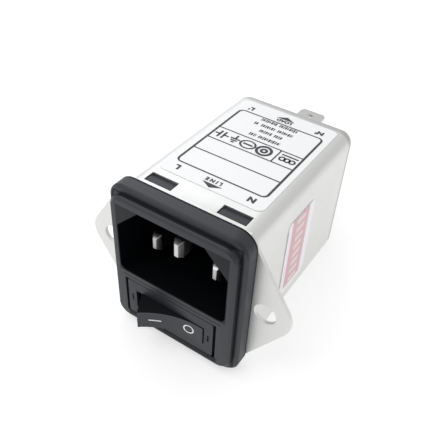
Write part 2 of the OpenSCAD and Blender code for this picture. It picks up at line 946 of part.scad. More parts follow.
// Insulated lead from the circuit board to the inner end of a load tab.
module load_lead(s) {
    under_tab = load_z - tab_t / 2 - load_lead_r - seat;
    tab_y = rear_y - tab_inner;
    end_y = tab_y + tab_w / 3;
    reach = end_y - choke_back;
    foot = [s * load_lead_x, board_y - load_lead_r, load_lead_z];
    bend = curve([[s * load_lead_x, choke_back, load_lead_z],
        [s * load_lead_x, choke_back + 0.7 * reach, load_lead_z],
        [s * load_x, choke_back + 0.3 * reach, under_tab], [s * load_x, end_y, under_tab]], 12);
    path = concat([foot], bend);
    wire(path, [for (p = path) [1, 0, 0]], load_lead_r);
}

module load_lead_line() {
    color([0.45, 0.24, 0.12])
        load_lead(-1);
}

module load_lead_neutral() {
    color([0.18, 0.35, 0.72])
        load_lead(1);
}

// Insulated lead from the earth pin's tail to the earth rivet, over the circuit board.
module earth_lead() {
    tail_top = pin_z + earth_rise + tail_h / 2 + load_lead_r + seat;
    over = board_h / 2 - 0.8;
    end_y = rear_y - rivet_head - load_lead_r - seat;
    reach = end_y - board_back;
    a = curve([[0, back_y + 0.2 * post_len, tail_top], [0, back_y + 0.65 * post_len, tail_top],
        [0, board_y - 0.75 * post_len, over], [0, board_y, over]], 8);
    b = curve([[0, board_back + 0.03 * reach, over], [0, end_y - 0.3 * reach, over],
        [0, end_y - load_lead_r, over], [0, end_y, rivet_z + rivet_r]], 10);
    path = concat(a, b);
    color([0.45, 0.62, 0.20])
        wire(path, [for (p = path) [1, 0, 0]], load_lead_r);
}

// ---------------------------------------------------------------- terminals at the rear

// Insulating bushing for one load tab.
module load_bushing(s) {
    color(black_plastic)
        translate([s * load_x, 0, load_z])
            difference() {
                union() {
                    rod_y(bushing_inner_rim, rear_y - bushing_in, rear_y);
                    rod_y(bushing_r, rear_y - bushing_in, can_len + bushing_out);
                    rod_y(bushing_rim, can_len, can_len + bushing_out);
                }
                bar_y(tab_w + 2 * seat, tab_t + 2 * seat,
                    rear_y - bushing_in - cut, can_len + bushing_out + cut);
            }
}

module load_bushing_line() {
    load_bushing(-1);
}

module load_bushing_neutral() {
    load_bushing(1);
}

// Flat push-on tab in X and Y, with cut tip corners and a hole.
module tab_blade(y0, y1) {
    w = tab_w / 2;
    difference() {
        slab(tab_t)
            polygon([[-w, y0], [w, y0], [w, y1 - 1.4 * tab_cut], [w - tab_cut, y1],
                [tab_cut - w, y1], [-w, y1 - 1.4 * tab_cut]]);
        translate([0, y1 - tab_hole_back, 0])
            cylinder(r = tab_hole_r, h = tab_t + 2 * cut, center = true);
    }
}

module load_tab(s) {
    color(nickel)
        translate([s * load_x, 0, load_z])
            tab_blade(rear_y - tab_inner, can_len + tab_len);
}

module load_tab_line() {
    load_tab(-1);
}

module load_tab_neutral() {
    load_tab(1);
}

// Earth tab, bent at a right angle from a foot that is riveted to the can.
module earth_tab() {
    foot_z = earth_tab_z + tab_t / 2 - earth_foot / 2;
    color(nickel)
        difference() {
            union() {
                translate([0, 0, earth_tab_z])
                    tab_blade(can_len, can_len + tab_len);
                translate([0, 0, foot_z])
                    bar_y(tab_w, earth_foot, can_len, can_len + tab_t);
            }
            translate([0, 0, rivet_z])
                rod_y(rivet_r + seat, can_len - cut, can_len + tab_t + cut);
        }
}

module earth_rivet() {
    head_r = rivet_r + 0.9;
    color(nickel)
        translate([0, 0, rivet_z]) {
            rod_y(rivet_r, rear_y - rivet_head / 2, can_len + tab_t + rivet_head / 2);
            rod_y(head_r, can_len + tab_t, can_len + tab_t + rivet_head);
            rod_y(head_r, rear_y - rivet_head, rear_y);
        }
}

// ---------------------------------------------------------------- labels

module rating_label() {
    color([0.96, 0.96, 0.96])
        translate([0, label_y + label_len / 2, can_h / 2])
            linear_extrude(film)
                rounded_rect(label_w, label_len, 1.5);
}

module side_label() {
    color([0.78, 0.30, 0.30])
        translate([can_w / 2, seal_y + seal_len / 2, seal_top - seal_h / 2])
            rotate([90, 0, 90])
                linear_extrude(film)
                    rounded_rect(seal_len, seal_h, 1.5);
}

can();
inlet_housing();
line_pin();
neutral_pin();
earth_pin();
switch_body();
switch_base();
rocker();
plunger_line();
plunger_neutral();
spring_line();
spring_neutral();
blade_line();
blade_neutral();
common_terminal_line();
common_terminal_neutral();
contact_terminal_line();
contact_terminal_neutral();
circuit_board();
insulating_sleeve();
choke_core();
choke_divider();
winding_line();
winding_neutral();
x_capacitor();
bleed_resistor();
y_capacitor_line();
y_capacitor_neutral();
link_line();
link_neutral();
load_lead_line();
load_lead_neutral();
earth_lead();
load_bushing_line();
load_bushing_neutral();
load_tab_line();
load_tab_neutral();
earth_tab();
earth_rivet();
rating_label();
side_label();
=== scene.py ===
import json
import math
import bmesh
import bpy
from mathutils import Matrix, Vector


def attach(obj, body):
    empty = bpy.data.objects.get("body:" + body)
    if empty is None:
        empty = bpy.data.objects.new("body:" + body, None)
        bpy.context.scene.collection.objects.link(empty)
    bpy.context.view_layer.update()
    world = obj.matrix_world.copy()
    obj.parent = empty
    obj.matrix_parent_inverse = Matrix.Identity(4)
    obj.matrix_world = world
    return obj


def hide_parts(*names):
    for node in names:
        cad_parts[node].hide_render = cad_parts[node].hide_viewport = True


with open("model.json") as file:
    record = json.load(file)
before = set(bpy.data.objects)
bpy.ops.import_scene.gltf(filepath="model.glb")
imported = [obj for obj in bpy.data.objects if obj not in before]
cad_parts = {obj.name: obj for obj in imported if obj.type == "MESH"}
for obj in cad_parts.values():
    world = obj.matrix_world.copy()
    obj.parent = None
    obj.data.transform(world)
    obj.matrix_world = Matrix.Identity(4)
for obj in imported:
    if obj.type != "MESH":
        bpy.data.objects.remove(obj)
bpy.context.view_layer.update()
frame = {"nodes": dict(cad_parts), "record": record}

mm = 0.001
nodes = frame["nodes"]
slotOf = {row["node"]: row["material_slot"] for row in frame["record"]["subparts"]}


class Socket:
    # A shader value that can stand in a plain expression.
    def __init__(self, tree, out):
        self.tree = tree
        self.out = out

    def maths(self, operation, *values):
        node = self.tree.nodes.new("ShaderNodeMath")
        node.operation = operation
        for target, value in zip(node.inputs, values):
            if isinstance(value, Socket):
                self.tree.links.new(value.out, target)
            else:
                target.default_value = value
        return Socket(self.tree, node.outputs[0])

    def __add__(self, other):
        return self.maths("ADD", self, other)

    def __sub__(self, other):
        return self.maths("SUBTRACT", self, other)

    def __rsub__(self, other):
        return self.maths("SUBTRACT", other, self)

    def __mul__(self, other):
        return self.maths("MULTIPLY", self, other)

    def __abs__(self):
        return self.maths("ABSOLUTE", self)

    def atLeast(self, other):
        return self.maths("MAXIMUM", self, other)

    def atMost(self, other):
        return self.maths("MINIMUM", self, other)

    __radd__ = __add__
    __rmul__ = __mul__


class Nodes:
    def __init__(self, tree):
        self.tree = tree

    def add(self, kind, values=None, settings=None, output=0):
        node = self.tree.nodes.new("ShaderNode" + kind)
        for key, value in (settings or {}).items():
            if key == "stops":
                ramp = node.color_ramp.elements
                for index, (place, level) in enumerate(value):
                    stop = ramp[index] if index < 2 else ramp.new(place)
                    stop.position = place
                    stop.color = (level, level, level, 1)
            else:
                setattr(node, key, value)
        for key, value in (values or {}).items():
            self.wire(node.inputs[key], value)
        return Socket(self.tree, node.outputs[output]) if node.outputs else node

    def wire(self, target, value):
        if isinstance(value, Socket):
            self.tree.links.new(value.out, target)
        elif isinstance(value, tuple) and len(value) == 3 and target.type == "RGBA":
            target.default_value = (*value, 1)
        else:
            target.default_value = value

    def split(self, vector):
        parts = self.add("SeparateXYZ", {"Vector": vector}).out.node
        return [Socket(self.tree, out) for out in parts.outputs]


class Finish(Nodes):
    dulling = 0.85  # how far the dull shader takes over in full shade

    def __init__(self, name, metallic=0.0, ior=1.5, **shader):
        self.material = bpy.data.materials.new(name)
        self.material.use_nodes = True
        super().__init__(self.material.node_tree)
        self.tree.nodes.clear()
        self.surface = self.add("BsdfPrincipled", {"Metallic": metallic, "IOR": ior})
        self.shader = self.surface.out.node
        self.output = self.add("OutputMaterial", {"Surface": self.surface})
        self.set(**shader)

    def place(self, stretch=(1, 1, 1)):
        coords = self.add("TexCoord", output=3)
        if stretch == (1, 1, 1):
            return coords
        return self.add("Mapping", {"Vector": coords, "Scale": stretch})

    def noise(self, scale, stretch=(1, 1, 1), detail=3.0, rough=0.5, twist=0.0):
        return self.add("TexNoise", {"Vector": self.place(stretch), "Scale": scale, "Detail": detail,
                                     "Roughness": rough, "Distortion": twist})

    def ramp(self, value, *stops):
        return self.add("ValToRGB", {"Fac": value}, {"stops": stops})

    def blend(self, mask, first, second):
        return self.add("Mix", {0: mask, 6: first, 7: second}, {"data_type": "RGBA"}, output=2)

    def bump(self, height, strength, distance, under=None):
        # under: another bump that this one lies on
        values = {"Height": height, "Strength": strength, "Distance": distance}
        if under is not None:
            values["Normal"] = under
        return self.add("Bump", values)

    def dim(self, mask, tone):
        # Painted shade: a dull dark shader takes over where the mask is high.
        dull = self.add("BsdfDiffuse", {"Color": tone})
        mixed = self.add("MixShader", {0: mask * self.dulling, 1: self.surface, 2: dull})
        self.wire(self.output.inputs["Surface"], mixed)

    def set(self, **values):
        for key, value in values.items():
            self.wire(self.shader.inputs[key.replace("_", " ")], value)
        return self.material


def scaled(tone, factor, lift=0.0):
    return tuple(min(1, part * factor + lift) for part in tone)


def within(value, low, high, soft):
    # 1 between low and high, falling to 0 over the soft distance outside them.
    rise = (value - low * mm) * (1 / (soft * mm)) + 1.0
    fall = (value - high * mm) * (-1 / (soft * mm)) + 1.0
    return rise.atMost(fall).atMost(1.0).atLeast(0.0)


def largest(first, *others):
    for other in others:
        first = first.atLeast(other)
    return first


def softBoxes(finish, boxes):
    # The strongest of several soft-edged boxes; "aside" runs both ways from the plane x = middle.
    x, y, z = finish.split(finish.place())
    masks = []
    for box in boxes.values():
        along = {"x": x, "y": y, "z": z}
        if "aside" in box:
            along["aside"] = abs(x - box.get("middle", 0) * mm)
        mask = box.get("strength", 1.0)
        for axis, value in along.items():
            if axis in box:
                mask = within(value, *box[axis]) * mask
        masks.append(mask)
    return largest(*masks)


# Where the plastics and metals stand in shade or catch the light: low, high and softness in mm.
housingShade = {
    "cavity": {"aside": (0, 12.45, 0.05), "y": (-4.3, 16, 0.7), "z": (-2.3, 14.3, 0.05)},
    "block sides": {"aside": (13.8, 14.1, 0.15), "y": (-4.2, -3.2, 0.12), "strength": 0.62},
    "block top": {"z": (15.9, 16.2, 0.12), "y": (-4.0, -3.2, 0.12), "strength": 0.55},
    "switch seam": {"x": (-10.90, 10.20, 0.06), "z": (-14.0, -4.22, 0.06)},
    "groove": {"aside": (0, 11.6, 0.1), "z": (-3.36, -3.14, 0.08), "strength": 0.5},
    "below switch": {"aside": (0, 10.9, 0.2), "z": (-15.2, -13.9, 0.15), "strength": 0.62},
    "flange rear": {"y": (-0.38, 0.1, 0.1), "strength": 0.75},
}
switchShade = {"recess": {"x": (-8.75, 8.05, 0.05), "y": (-3.6, 20, 0.5), "strength": 0.9}}
switchGlint = {
    "slots": {"aside": (8.95, 9.55, 0.05), "middle": -0.35, "y": (-4.5, -2, 0.05),
              "z": (-10.6, -7.6, 0.05), "strength": 0.9},
}
rockerShade = {"upper flank": {"z": (-6.93, -6.5, 0.02), "strength": 0.75}}
rockerGlint = {"upper edge": {"z": (-7.04, -6.95, 0.03), "strength": 0.9}}
pinShade = {"inside the cavity": {"y": (1.0, 19, 1.5)}}  # only black walls are mirrored there
canShade = {  # tone: share of the sheet's pale tone
    "top": {"z": (15.9, 17, 1.2), "tone": 0.86},
    "rear bend": {"y": (40.0, 44, 0.5), "tone": 0.66},
}


def platedSheet(name, pale, grey, gloss, grain=(1, 0.02, 1), wear=0.5, shade=None):
    finish = Finish(name, metallic=1.0)
    cloud = finish.noise(70, detail=4)
    drawn = finish.noise(2600, grain, detail=4, rough=0.6)
    grainy = finish.noise(7000, detail=2)
    scuffs = finish.ramp(finish.noise(420, (1, 0.12, 0.6), detail=5, twist=0.6),
                         (0.60, 0), (0.68, 1))
    tone = finish.blend(cloud, pale, grey)
    tone = finish.blend(drawn * 0.35, tone, scaled(grey, 0.86))
    tone = finish.blend(scuffs * (0.16 * wear), tone, scaled(pale, 1.12))
    for place, box in (shade or {}).items():
        tone = finish.blend(softBoxes(finish, {place: box}), tone, scaled(pale, box["tone"]))
    rough = gloss + drawn * 0.10 + cloud * 0.07 + scuffs * (0.06 * wear)
    relief = finish.bump(drawn, 0.10, 0.04 * mm)
    relief = finish.bump(grainy, 0.06, 0.03 * mm, relief)
    return finish.set(Base_Color=tone, Roughness=rough, Normal=relief)


def mouldedPlastic(name, tone, lighter, gloss, texture=5200, shade=None, glint=None):
    finish = Finish(name, ior=1.49)
    cloud = finish.noise(110, detail=3)
    pores = finish.noise(texture, detail=3, rough=0.65)
    dust = finish.ramp(finish.noise(1500, detail=6, rough=0.7), (0.66, 0), (0.74, 1))
    colour = finish.blend(cloud, tone, lighter)
    colour = finish.blend(dust * 0.10, colour, scaled(lighter, 2.4, 0.03))
    rough = gloss + cloud * 0.08 + pores * 0.10
    if glint:
        colour = finish.blend(softBoxes(finish, glint), colour, scaled(tone, 6))
    if shade:
        dark = softBoxes(finish, shade)
        colour = finish.blend(dark, colour, scaled(tone, 0.25))
        finish.dim(dark, scaled(tone, 0.2))
    return finish.set(Base_Color=colour, Roughness=rough, Normal=finish.bump(pores, 0.22, 0.05 * mm))


def polishedStrip(name, pale, grey, gloss, grain=(1, 0.05, 1), shade=None):
    finish = Finish(name, metallic=1.0)
    rolled = finish.noise(5200, grain, detail=3)
    tarnish = finish.ramp(finish.noise(380, detail=5), (0.35, 0), (0.8, 1))
    colour = finish.blend(tarnish * 0.55, pale, grey)
    if shade:
        colour = finish.blend(softBoxes(finish, shade), colour, scaled(grey, 0.30))
    rough = gloss + rolled * 0.10 + tarnish * 0.10
    return finish.set(Base_Color=colour, Roughness=rough, Normal=finish.bump(rolled, 0.08, 0.03 * mm))


def labelFilm(name, tone, other, gloss=0.42):
    finish = Finish(name, ior=1.46, Coat_Weight=0.15, Coat_Roughness=0.25)
    cloud = finish.noise(160, detail=2)
    fibre = finish.noise(6000, detail=2)
    colour = finish.blend(cloud * 0.5 + fibre * 0.2, tone, other)
    return finish.set(Base_Color=colour, Roughness=gloss + fibre * 0.10,
                      Normal=finish.bump(cloud, 0.05, 0.2 * mm))


def ink(name, tone, gloss=0.5):
    finish = Finish(name, ior=1.46)
    speck = finish.noise(9000, detail=3)
    colour = finish.blend(speck * 0.35, tone, scaled(tone, 1.6, 0.02))
    return finish.set(Base_Color=colour, Roughness=gloss + speck * 0.1)


def wovenBoard(name, tone, lighter, thread=700):
    finish = Finish(name)
    across = finish.add("TexWave", {"Vector": finish.place(), "Scale": thread},
                        {"bands_direction": "X"})
    upward = finish.add("TexWave", {"Vector": finish.place(), "Scale": thread},
                        {"bands_direction": "Z"})
    weave = across * upward
    blotch = finish.noise(150, detail=4)
    colour = finish.blend(weave * 0.4 + blotch * 0.4, tone, lighter)
    return finish.set(Base_Color=colour, Roughness=0.42 + blotch * 0.15,
                      Normal=finish.bump(weave, 0.1, 0.04 * mm))


def softBody(name, tone, other, gloss, **shader):
    finish = Finish(name, **shader)
    cloud = finish.noise(240, detail=4)
    speck = finish.noise(3000, detail=4, rough=0.7)
    colour = finish.blend(cloud * 0.6 + speck * 0.4, tone, other)
    return finish.set(Base_Color=colour, Roughness=gloss + speck * 0.14,
                      Normal=finish.bump(speck, 0.2, 0.05 * mm))


finishes = {
    "plated_steel": platedSheet("plated steel", (0.808, 0.811, 0.798), (0.738, 0.741, 0.728), 0.42,
                                shade=canShade),
    "nickel_plate": polishedStrip("nickel plate", (0.60, 0.60, 0.595), (0.52, 0.52, 0.515), 0.24,
                                  shade=pinShade),
    "housing_plastic": mouldedPlastic("housing plastic", (0.0120, 0.0150, 0.0205),
                                      (0.0170, 0.0205, 0.0270), 0.40, shade=housingShade),
    "switch_plastic": mouldedPlastic("switch plastic", (0.0110, 0.0138, 0.0190),
                                     (0.0155, 0.0188, 0.0250), 0.42, texture=6500,
                                     shade=switchShade, glint=switchGlint),
    "rocker_plastic": mouldedPlastic("rocker plastic", (0.0120, 0.0150, 0.0205),
                                     (0.0165, 0.0200, 0.0265), 0.34, texture=7000,
                                     shade=rockerShade, glint=rockerGlint),
    "brass_strip": polishedStrip("brass strip", (0.82, 0.62, 0.30), (0.55, 0.38, 0.16), 0.24),
    "copper_strip": polishedStrip("copper strip", (0.80, 0.42, 0.25), (0.50, 0.24, 0.14), 0.24),
    "spring_wire": polishedStrip("spring wire", (0.62, 0.62, 0.61), (0.42, 0.42, 0.41), 0.26),
    "glass_epoxy": wovenBoard("glass epoxy board", (0.020, 0.120, 0.045), (0.045, 0.190, 0.075)),
    "insulating_card": softBody("insulating card", (0.70, 0.63, 0.42), (0.55, 0.48, 0.30), 0.6),
    "ferrite": softBody("ferrite", (0.035, 0.036, 0.040), (0.060, 0.062, 0.068), 0.5),
    "divider_plastic": softBody("divider plastic", (0.78, 0.76, 0.68), (0.66, 0.64, 0.56), 0.4),
    "winding_copper": polishedStrip("enamelled copper", (0.66, 0.26, 0.10), (0.36, 0.11, 0.04),
                                    0.22, grain=(1, 1, 1)),
    "film_capacitor": softBody("capacitor case", (0.78, 0.50, 0.05), (0.66, 0.40, 0.03), 0.30,
                               Coat_Weight=0.3, Coat_Roughness=0.15),
    "resistor_body": softBody("resistor lacquer", (0.25, 0.46, 0.60), (0.18, 0.36, 0.50), 0.3),
    "disc_ceramic": softBody("disc lacquer", (0.030, 0.120, 0.420), (0.020, 0.080, 0.320), 0.3),
    "line_insulation": softBody("brown insulation", (0.16, 0.055, 0.022), (0.11, 0.038, 0.016), 0.4),
    "neutral_insulation": softBody("blue insulation", (0.02, 0.09, 0.42), (0.015, 0.06, 0.32), 0.4),
    "earth_insulation": softBody("green insulation", (0.10, 0.36, 0.03), (0.36, 0.42, 0.03), 0.4),
    "label_white": labelFilm("label film", (0.84, 0.85, 0.855), (0.81, 0.82, 0.83)),
    "label_red": labelFilm("seal film", (0.93, 0.89, 0.93), (0.88, 0.83, 0.88), 0.30),
}
darkInk = ink("label ink", (0.030, 0.034, 0.042))
whiteInk = ink("switch mark ink", (0.80, 0.80, 0.80))
redInk = ink("seal red", (0.66, 0.40, 0.43), 0.36)
paleInk = ink("seal pale", (0.76, 0.60, 0.58), 0.36)
# Painted shadow: a dark line along the seal film's front and top edges.
filmShadowInk = ink("seal edge", (0.16, 0.19, 0.20), 0.36)

for name, node in nodes.items():
    node.data.materials.clear()
    node.data.materials.append(finishes[slotOf[name]])
print("finishes on", len(nodes), "nodes")


def pieceFrom(bm, name, material, body="filter", replaced=(), smooth=35):
    mesh = bpy.data.meshes.new(name)
    bm.to_mesh(mesh)
    bm.free()
    mesh.shade_smooth()
    mesh.set_sharp_from_angle(angle=math.radians(smooth))
    mesh.materials.append(material)
    piece = bpy.data.objects.new(name, mesh)
    bpy.context.scene.collection.objects.link(piece)
    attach(piece, body)
    if replaced:
        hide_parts(*replaced)


# A CAD node's own shape, with its moulded or sheared edges eased. Lengths are in mm, angles in
# degrees; a pin's tip has its width, its height and how far the front end comes forward.
softEdges = {
    "can": {"ease": 0.10, "sharp": 28, "steps": 2},
    "inlet_housing": {"ease": 0.09, "sharp": 30, "steps": 2},
    "switch_body": {"ease": 0.09, "sharp": 30, "steps": 2},
    "rocker": {"ease": 0.12, "sharp": 30, "steps": 3},
    "line_pin": {"ease": 0.06, "sharp": 18, "steps": 2, "tip": (0.80, 1.3, 0.2)},
    "neutral_pin": {"ease": 0.06, "sharp": 18, "steps": 2, "tip": (0.80, 1.3, 0.2)},
    "earth_pin": {"ease": 0.06, "sharp": 18, "steps": 2, "tip": (0.85, 1.5, 0.1)},
    "load_tab_line": {"ease": 0.08, "sharp": 30, "steps": 2},
    "load_tab_neutral": {"ease": 0.08, "sharp": 30, "steps": 2},
    "earth_tab": {"ease": 0.08, "sharp": 30, "steps": 2},
    "earth_rivet": {"ease": 0.20, "sharp": 40, "steps": 3},
    "load_bushing_line": {"ease": 0.15, "sharp": 30, "steps": 2},
    "load_bushing_neutral": {"ease": 0.15, "sharp": 30, "steps": 2},
}
easing = {"weld": 0.002, "flat": 1.0, "smooth": 16, "tipFace": 0.01, "tipReach": 2.5}


def bodyHolding(name):
    bodies = frame["record"]["behaviour"]["bodies"]
    return next(body for body, members in bodies.items() if name in members)


def reshapeTip(bm, wide, tall, ahead):
    # The front face of a pin is scaled about its middle, and the front end comes forward.
    front = min(v.co.y for v in bm.verts)
    face = [v for v in bm.verts if v.co.y < front + easing["tipFace"] * mm]
    middle = sum((v.co for v in face), Vector()) / len(face)
    bmesh.ops.scale(bm, vec=(wide, 1, tall), space=Matrix.Translation(-middle), verts=face)
    end = [v for v in bm.verts if v.co.y < front + easing["tipReach"] * mm]
    bmesh.ops.translate(bm, vec=(0, -ahead * mm, 0), verts=end)


def easedPiece(name, ease, sharp, steps, tip=None):
    bm = bmesh.new()
    bm.from_mesh(nodes[name].data)
    bmesh.ops.remove_doubles(bm, verts=bm.verts, dist=easing["weld"] * mm)
    bmesh.ops.dissolve_limit(bm, angle_limit=math.radians(easing["flat"]), verts=bm.verts,
                             edges=bm.edges)
    if tip:
        reshapeTip(bm, *tip)
    edges = [e for e in bm.edges
             if len(e.link_faces) == 2 and e.calc_face_angle() > math.radians(sharp)]
    bmesh.ops.bevel(bm, geom=edges, offset=ease * mm, offset_type="OFFSET", segments=steps,
                    profile=0.5, affect="EDGES", clamp_overlap=True, material=-1)
    bmesh.ops.recalc_face_normals(bm, faces=bm.faces)
    title = "eased" + "".join(word.capitalize() for word in name.split("_"))
    pieceFrom(bm, title, finishes[slotOf[name]], bodyHolding(name), [name],
              smooth=easing["smooth"])


for name, look in softEdges.items():
    easedPiece(name, **look)
print("eased edges on", len(softEdges), "pieces")


def addBar(bm, x0, x1, y0, y1, top):
    made = bmesh.ops.create_grid(bm, x_segments=1, y_segments=1, size=0.5)
    move = Matrix.Translation(((x0 + x1) / 2 * mm, (y0 + y1) / 2 * mm, top * mm))
    size = Matrix.Diagonal(((x1 - x0) * mm, (y1 - y0) * mm, 1, 1))
    bmesh.ops.transform(bm, matrix=move @ size, verts=made["verts"])
    return made["verts"]


def addRing(bm, x, y, outer, inner, top, sides=40, squash=1.0):
    ring = bmesh.ops.create_circle(bm, cap_ends=False, radius=inner * mm, segments=sides)["verts"]
    edges = list(dict.fromkeys(e for v in ring for e in v.link_edges))
    out = bmesh.ops.extrude_edge_only(bm, edges=edges)["geom"]
    rim = [g for g in out if isinstance(g, bmesh.types.BMVert)]
    bmesh.ops.scale(bm, vec=(outer / inner, outer / inner, 1), verts=rim)
    bmesh.ops.scale(bm, vec=(1, squash, 1), verts=ring + rim)
    bmesh.ops.translate(bm, vec=(x * mm, y * mm, top * mm), verts=ring + rim)


def addCorner(bm, x, y, radius, wideX, wideY, turn, top, touch=1e-7):
    # A quarter of the printed frame, thicker along its sides than across its ends.
    ring = bmesh.ops.create_circle(bm, cap_ends=False, radius=radius * mm, segments=32)["verts"]
    gone = [v for v in ring if v.co.x < -touch or v.co.y < -touch]
    bmesh.ops.delete(bm, geom=gone, context="VERTS")
    ring = [v for v in ring if v.is_valid]
    edges = list(dict.fromkeys(e for v in ring for e in v.link_edges))
    out = bmesh.ops.extrude_edge_only(bm, edges=edges)["geom"]
    inside = [g for g in out if isinstance(g, bmesh.types.BMVert)]
    bmesh.ops.scale(bm, vec=((radius - wideX) / radius, (radius - wideY) / radius, 1), verts=inside)
    spot = Matrix.Translation((x * mm, y * mm, top * mm))
    flip = Matrix.Diagonal((turn[0], turn[1], 1, 1))
    bmesh.ops.transform(bm, matrix=spot @ flip, verts=ring + inside)


def faceUp(bm, normal):
    for face in bm.faces:
        face.normal_update()
        if face.normal.dot(normal) < 0:
            face.normal_flip()


# The white label's print, read from behind. A word has its place, its letters' height and how
# far they are stretched; a tick row has its place and the spans that it fills.
labelPrint = {
    "top": 16.42, "frameX": 10.3, "frameY": (10.55, 35.05), "corner": 1.3,
    "sideLine": 0.50, "endLine": 0.36, "rowLine": 0.32, "rows": (16.45, 21.35, 25.95),
    "dividerX": 5.03, "dividerLine": 0.32,
    "arrows": ((7.15, 8.35), (38.05, 36.85)), "arrowHalf": 2.25,  # tip and base
    "words": (("L", -8.3, 8.95, 1.35, 1.1), ("N", 8.3, 8.85, 1.35, 1.1),
              ("L'", -8.4, 36.55, 1.25, 1.1), ("N'", 8.3, 36.75, 1.25, 1.1),
              ("L I N E", -0.2, 9.30, 0.95, 0.95), ("LOAD", 0.1, 36.15, 0.95, 1.0)),
    "letterScale": 1.39, "letterSpread": 0.09,
    "tickRows": ((34.0, ((-4.3, -0.4), (0.1, 4.4))),
                 (31.9, ((-4.9, -3.9), (-3.2, 0.2), (0.8, 4.3))),
                 (29.8, ((-2.4, 0.6), (1.1, 3.0))), (27.6, ((-3.6, -2.0), (-1.4, 3.6)))),
    "tickWide": (0.28, 0.42, 0.24, 0.36), "tickHalf": (0.52, 0.44, 0.56, 0.48, 0.40),
    "tickGap": (0.14, 0.20, 0.16),
}

# Plain circuit signs in one row: two rings, a flat ring, a coil, an earth and a capacitor.
signPrint = {
    "y": 23.65,
    "rings": ((2.2, 1.85, 1.22, 1.0), (2.2, 0.86, 0.30, 1.0), (-1.6, 1.90, 1.42, 0.82)),
    "bars": ((-2.7, -0.5, -0.26, 0.26), (-4.98, -4.52, 0.3, 1.6), (5.7, 9.4, 1.05, 1.48)),
    "coil": {"x": 6.45, "turns": 3, "pitch": 1.1, "drop": 0.15, "radii": (0.80, 0.38)},
    "earth": {"x": -4.75, "strokes": 3, "half": 1.15, "shorter": 0.38, "drop": 0.65, "line": 0.44},
    "plates": {"x": -7.9, "aside": 0.48, "half": (0.24, 1.3), "reach": 1.632, "lead": 0.22},
}


def printedWord(word, x, y, height, stretch, look):
    curve = bpy.data.curves.new("mark " + word, "FONT")
    curve.body = word
    curve.size = height * look["letterScale"] * mm
    curve.offset = height * look["letterSpread"] * mm
    curve.align_x = "CENTER"
    curve.align_y = "CENTER"
    curve.resolution_u = 6
    holder = bpy.data.objects.new("mark " + word, curve)
    mesh = bpy.data.meshes.new_from_object(holder)
    place = Matrix.Translation((x * mm, y * mm, look["top"] * mm))
    half = Matrix.Rotation(math.pi, 4, "Z")
    mesh.transform(place @ half @ Matrix.Diagonal((stretch, 1, 1, 1)))
    bpy.data.objects.remove(holder)
    return mesh


def addFrame(bm, look):
    top, x, (front, rear) = look["top"], look["frameX"], look["frameY"]
    r, side, end = look["corner"], look["sideLine"], look["endLine"]
    addBar(bm, -x, side - x, front + r, rear - r, top)
    addBar(bm, x - side, x, front + r, rear - r, top)
    addBar(bm, r - x, x - r, front, front + end, top)
    addBar(bm, r - x, x - r, rear - end, rear, top)
    for turn in ((1, 1), (-1, 1), (1, -1), (-1, -1)):
        middle = rear - r if turn[1] > 0 else front + r
        addCorner(bm, turn[0] * (x - r), middle, r, side, end, turn, top)
    half = look["rowLine"] / 2
    for row in look["rows"]:
        addBar(bm, side - x, x - side, row - half, row + half, top)
    divider, half = look["dividerX"], look["dividerLine"] / 2
    addBar(bm, divider - half, divider + half, look["rows"][1], look["rows"][2], top)


def addArrow(bm, tip, base, half, top, touch=1e-6):
    arrow = addBar(bm, -half, half, min(tip, base), max(tip, base), top)
    point = [v for v in arrow if abs(v.co.y - tip * mm) < touch]
    bmesh.ops.pointmerge(bm, verts=point, merge_co=(0, tip * mm, top * mm))


def addTicks(bm, y, x0, x1, look):
    wides, halves, gaps = look["tickWide"], look["tickHalf"], look["tickGap"]
    x = x0
    step = 0
    while x < x1:
        wide = wides[step % len(wides)]
        half = halves[step % len(halves)]
        addBar(bm, x, min(x + wide, x1), y - half, y + half, look["top"])
        x += wide + gaps[step % len(gaps)]
        step += 1


def addSigns(bm, look, top):
    row = look["y"]
    for x, outer, inner, squash in look["rings"]:
        addRing(bm, x, row, outer, inner, top, squash=squash)
    for x0, x1, low, high in look["bars"]:
        addBar(bm, x0, x1, row + low, row + high, top)
    coil = look["coil"]
    for turn in range(coil["turns"]):
        addRing(bm, coil["x"] + coil["pitch"] * turn, row - coil["drop"], *coil["radii"], top, 24)
    earth = look["earth"]
    for stroke in range(earth["strokes"]):
        half = earth["half"] - earth["shorter"] * stroke
        low = row - earth["drop"] * stroke
        addBar(bm, earth["x"] - half, earth["x"] + half, low, low + earth["line"], top)
    plates = look["plates"]
    halfWide, halfTall = plates["half"]
    for side in (-1, 1):
        near = plates["x"] + side * plates["aside"]
        far = plates["x"] + side * plates["reach"]
        addBar(bm, near - halfWide, near + halfWide, row - halfTall, row + halfTall, top)
        addBar(bm, min(near, far), max(near, far), row - plates["lead"], row + plates["lead"], top)


def ratingPrint(look, signs):
    bm = bmesh.new()
    addFrame(bm, look)
    for tip, base in look["arrows"]:
        addArrow(bm, tip, base, look["arrowHalf"], look["top"])
    for word in look["words"]:
        bm.from_mesh(printedWord(*word, look))
    for y, spans in look["tickRows"]:
        for x0, x1 in spans:
            addTicks(bm, y, x0, x1, look)
    addSigns(bm, signs, look["top"])
    faceUp(bm, Vector((0, 0, 1)))
    pieceFrom(bm, "ratingPrint", darkInk)


ratingPrint(labelPrint, signPrint)

# The red seal on the right side: a panel, plain pale bars across it, and a painted shadow along the
# film's front and top edges.
sealPrint = {
    "face": 14.42, "panelY": (15.6, 22.6), "panelZ": (-9.6, 9.2), "bars": 8,
    "barY": (17.4, 20.9), "barHalf": 0.27, "barLift": 0.006,  # barHalf: share of a bar's pitch
    "filmY": (13.7, 25.0), "filmZ": (-11.0, 9.6), "corner": 1.5, "edge": 0.17,
}


